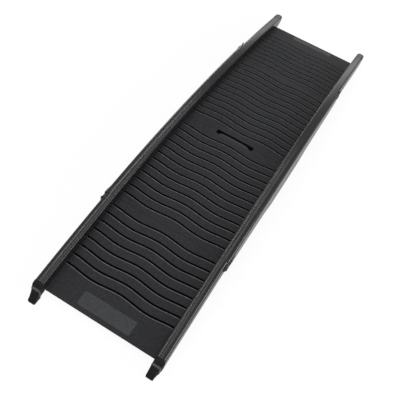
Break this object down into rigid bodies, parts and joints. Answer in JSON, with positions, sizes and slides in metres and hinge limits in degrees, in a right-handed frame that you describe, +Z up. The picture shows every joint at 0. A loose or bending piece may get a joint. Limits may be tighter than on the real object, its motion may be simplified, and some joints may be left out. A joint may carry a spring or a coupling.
{
  "type": "folding dog ramp",
  "caption": "Arched folding dog ramp with raised side rails, wavy grip grooves, a hand slot with a carry handle at the fold, rubber feet and joining clips.",
  "frame": {"origin": "centre of the overall box in X and Y, on the ground at its base: at the fold, half way across", "axes": "+X across the ramp to the right, +Y along it from the end with the rubber feet to the end with the rail tips, +Z up"},
  "size_m": [0.4056, 1.536, 0.1151],
  "materials": {
    "deck_plastic": "moulded charcoal plastic with a fine grained texture",
    "rail_plastic": "moulded charcoal plastic, slightly smoother than the deck",
    "foot_rubber": "ribbed black rubber",
    "handle_plastic": "moulded charcoal plastic",
    "clip_plastic": "smooth black plastic",
    "hinge_steel": "plated steel",
    "screw_steel": "plated steel"
  },
  "bodies": {
    "near_half": {"near_middle_panel": "deck_plastic", "near_end_panel": "deck_plastic", "near_splice_plate": "deck_plastic", "near_middle_rail_left": "rail_plastic", "near_end_rail_left": "rail_plastic", "near_clip_bracket_left": "clip_plastic", "near_hinge_leaf_left": "hinge_steel", "near_rail_screw_left_1": "screw_steel", "near_rail_screw_left_2": "screw_steel", "near_rail_screw_left_3": "screw_steel", "near_hinge_screw_left_1": "screw_steel", "near_hinge_screw_left_2": "screw_steel", "near_middle_rail_right": "rail_plastic", "near_end_rail_right": "rail_plastic", "near_clip_bracket_right": "clip_plastic", "near_hinge_leaf_right": "hinge_steel", "near_rail_screw_right_1": "screw_steel", "near_rail_screw_right_2": "screw_steel", "near_rail_screw_right_3": "screw_steel", "near_hinge_screw_right_1": "screw_steel", "near_hinge_screw_right_2": "screw_steel", "near_foot_left": "foot_rubber", "near_foot_right": "foot_rubber", "hinge_pin_left": "hinge_steel", "hinge_pin_right": "hinge_steel", "handle_pin": "hinge_steel"},
    "far_half": {"far_middle_panel": "deck_plastic", "far_end_panel": "deck_plastic", "far_splice_plate": "deck_plastic", "far_middle_rail_left": "rail_plastic", "far_end_rail_left": "rail_plastic", "far_clip_bracket_left": "clip_plastic", "far_hinge_leaf_left": "hinge_steel", "far_rail_screw_left_1": "screw_steel", "far_rail_screw_left_2": "screw_steel", "far_rail_screw_left_3": "screw_steel", "far_hinge_screw_left_1": "screw_steel", "far_hinge_screw_left_2": "screw_steel", "far_middle_rail_right": "rail_plastic", "far_end_rail_right": "rail_plastic", "far_clip_bracket_right": "clip_plastic", "far_hinge_leaf_right": "hinge_steel", "far_rail_screw_right_1": "screw_steel", "far_rail_screw_right_2": "screw_steel", "far_rail_screw_right_3": "screw_steel", "far_hinge_screw_right_1": "screw_steel", "far_hinge_screw_right_2": "screw_steel", "far_tip_left": "rail_plastic", "far_tip_right": "rail_plastic", "far_pad_left": "foot_rubber", "far_pad_right": "foot_rubber"},
    "carry_handle": {"carry_handle": "handle_plastic"},
    "near_clip_left": {"near_clip_lever_left": "clip_plastic"},
    "near_clip_right": {"near_clip_lever_right": "clip_plastic"},
    "far_clip_left": {"far_clip_lever_left": "clip_plastic"},
    "far_clip_right": {"far_clip_lever_right": "clip_plastic"}
  },
  "joints": [
    {"name": "main_fold", "type": "hinge", "parent": "near_half", "child": "far_half", "pos_m": [0, 0, 0.0062], "axis": [-1, 0, 0], "range_deg": [0, 178]},
    {"name": "handle_swing", "type": "hinge", "parent": "near_half", "child": "carry_handle", "pos_m": [0, -0.017, 0.0426], "axis": [-1, 0, 0], "range_deg": [0, 65]},
    {"name": "near_clip_left_swing", "type": "hinge", "parent": "near_half", "child": "near_clip_left", "pos_m": [-0.1984, -0.44, 0.08318], "axis": [0, 0, 1], "range_deg": [0, 85]},
    {"name": "near_clip_right_swing", "type": "hinge", "parent": "near_half", "child": "near_clip_right", "pos_m": [0.1984, -0.44, 0.08318], "axis": [0, 0, -1], "range_deg": [0, 85]},
    {"name": "far_clip_left_swing", "type": "hinge", "parent": "far_half", "child": "far_clip_left", "pos_m": [-0.1984, 0.44, 0.08318], "axis": [0, 0, -1], "range_deg": [0, 85]},
    {"name": "far_clip_right_swing", "type": "hinge", "parent": "far_half", "child": "far_clip_right", "pos_m": [0.1984, 0.44, 0.08318], "axis": [0, 0, 1], "range_deg": [0, 85]}
  ]
}
